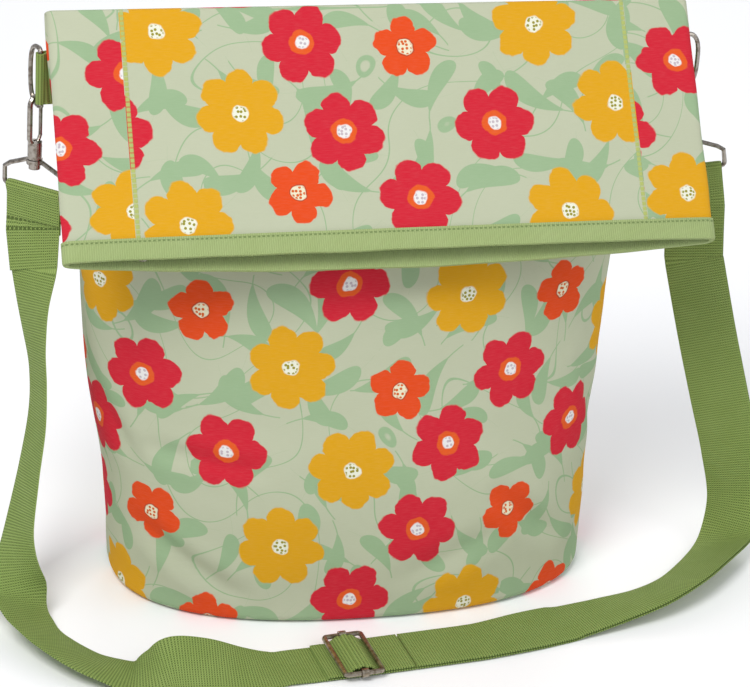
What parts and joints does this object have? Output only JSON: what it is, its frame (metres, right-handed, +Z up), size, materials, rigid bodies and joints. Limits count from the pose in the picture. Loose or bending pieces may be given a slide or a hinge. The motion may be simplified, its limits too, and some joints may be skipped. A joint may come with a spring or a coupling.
{
  "type": "fold-over shoulder bag",
  "caption": "Fold-over cloth shoulder bag on an oval base, with a zipped and bound mouth, side D-rings and a clip-on webbing strap with a sliding adjuster.",
  "frame": {"origin": "centre of the oval base on the ground", "axes": "+Z up, -Y towards the front, where the neck is folded over; +X to the right as seen from the front"},
  "size_m": [0.5189, 0.2467, 0.3754],
  "materials": {
    "print_cloth": "printed canvas",
    "lining_cloth": "plain weave",
    "webbing": "woven",
    "binding_tape": "ribbed tape",
    "zip_cloth": "woven tape",
    "stiffener": "matte",
    "nickel": "polished nickel"
  },
  "bodies": {
    "bag": {"front_panel": "print_cloth", "back_panel": "print_cloth", "base_panel": "print_cloth", "base_board": "stiffener", "bag_lining": "lining_cloth", "lining_base": "lining_cloth", "ring_tab_left": "webbing", "ring_tab_right": "webbing", "strap_left": "webbing", "strap_right": "webbing"},
    "neck": {"neck_front_panel": "print_cloth", "neck_back_panel": "print_cloth", "neck_lining": "lining_cloth", "front_rim_binding": "binding_tape", "back_rim_binding": "binding_tape", "zip_tape_back": "zip_cloth", "zip_tape_front": "zip_cloth", "zip_chain_back": "nickel", "zip_chain_front": "nickel", "zip_stop_left": "nickel", "zip_stop_right": "nickel"},
    "zip_slider": {"zip_slider": "nickel"},
    "zip_pull": {"zip_pull": "nickel"},
    "zip_pull_ring": {"zip_pull_ring": "nickel"},
    "strap_slider": {"strap_slider_frame": "nickel", "strap_slider_bar": "nickel", "strap_over_slider": "webbing"},
    "ring_left": {"d_ring_left": "nickel"},
    "loop_left": {"strap_loop_left": "nickel"},
    "hook_left": {"hook_left": "nickel", "gate_pin_left": "nickel"},
    "gate_left": {"gate_left": "nickel"},
    "ring_right": {"d_ring_right": "nickel"},
    "loop_right": {"strap_loop_right": "nickel"},
    "hook_right": {"hook_right": "nickel", "gate_pin_right": "nickel"},
    "gate_right": {"gate_right": "nickel"}
  },
  "joints": [
    {"name": "neck_unfold", "type": "hinge", "parent": "bag", "child": "neck", "pos_m": [0, 0.0112, 0.37], "axis": [-1, 0, 0], "range_deg": [0, 142]},
    {"name": "zip_slide", "type": "slide", "parent": "neck", "child": "zip_slider", "axis": [1, 0, 0], "range_m": [0, 0.304]},
    {"name": "zip_pull_swing", "type": "hinge", "parent": "zip_slider", "child": "zip_pull", "pos_m": [-0.152, -0.07724, 0.26442], "axis": [0, 0.7876, -0.6162], "range_deg": [-60, 60]},
    {"name": "zip_ring_swing", "type": "hinge", "parent": "zip_pull", "child": "zip_pull_ring", "pos_m": [-0.152, -0.08094, 0.25969], "axis": [0, 0.7876, -0.6162], "range_deg": [-35, 35]},
    {"name": "strap_adjust", "type": "slide", "parent": "bag", "child": "strap_slider", "axis": [0.994, 0.1097, 0], "range_m": [-0.012, 0.012]},
    {"name": "loop_left_tilt", "type": "hinge", "parent": "bag", "child": "loop_left", "pos_m": [-0.20213, 0.02459, 0.25423], "axis": [0.766, -0.6428, -0.0067], "range_deg": [-0.6, 1.5]},
    {"name": "ring_left_swing", "type": "hinge", "parent": "bag", "child": "ring_left", "pos_m": [-0.19965, 0.01851, 0.329], "axis": [0, 0, 1], "range_deg": [-13, 13]},
    {"name": "hook_left_swivel", "type": "hinge", "parent": "loop_left", "child": "hook_left", "pos_m": [-0.20196, 0.02459, 0.27323], "axis": [0.0087, 0, 1], "range_deg": [-45, 3]},
    {"name": "gate_left_open", "type": "hinge", "parent": "hook_left", "child": "gate_left", "pos_m": [-0.20031, 0.02615, 0.28381], "axis": [0.7071, -0.7071, -0.0062], "range_deg": [0, 15], "stiffness_Nm_per_rad": 0.01},
    {"name": "loop_right_tilt", "type": "hinge", "parent": "bag", "child": "loop_right", "pos_m": [0.21921, 0.02016, 0.25536], "axis": [0.9508, -0.2419, 0.1934], "range_deg": [-1.5, 1]},
    {"name": "ring_right_swing", "type": "hinge", "parent": "bag", "child": "ring_right", "pos_m": [0.20175, 0.01851, 0.329], "axis": [0, 0, 1], "range_deg": [-13, 13]},
    {"name": "hook_right_swivel", "type": "hinge", "parent": "loop_right", "child": "hook_right", "pos_m": [0.21543, 0.02016, 0.27398], "axis": [-0.1994, 0, 0.9799], "range_deg": [-22, 18]},
    {"name": "gate_right_open", "type": "hinge", "parent": "hook_right", "child": "gate_right", "pos_m": [0.21387, 0.01804, 0.28448], "axis": [-0.9465, -0.2588, -0.1926], "range_deg": [0, 15], "stiffness_Nm_per_rad": 0.01}
  ],
  "couplings": [
    {"joint": "ring_left_swing", "follows": "loop_left_tilt", "ratio": 7.501},
    {"joint": "ring_right_swing", "follows": "loop_right_tilt", "ratio": -7.746}
  ]
}
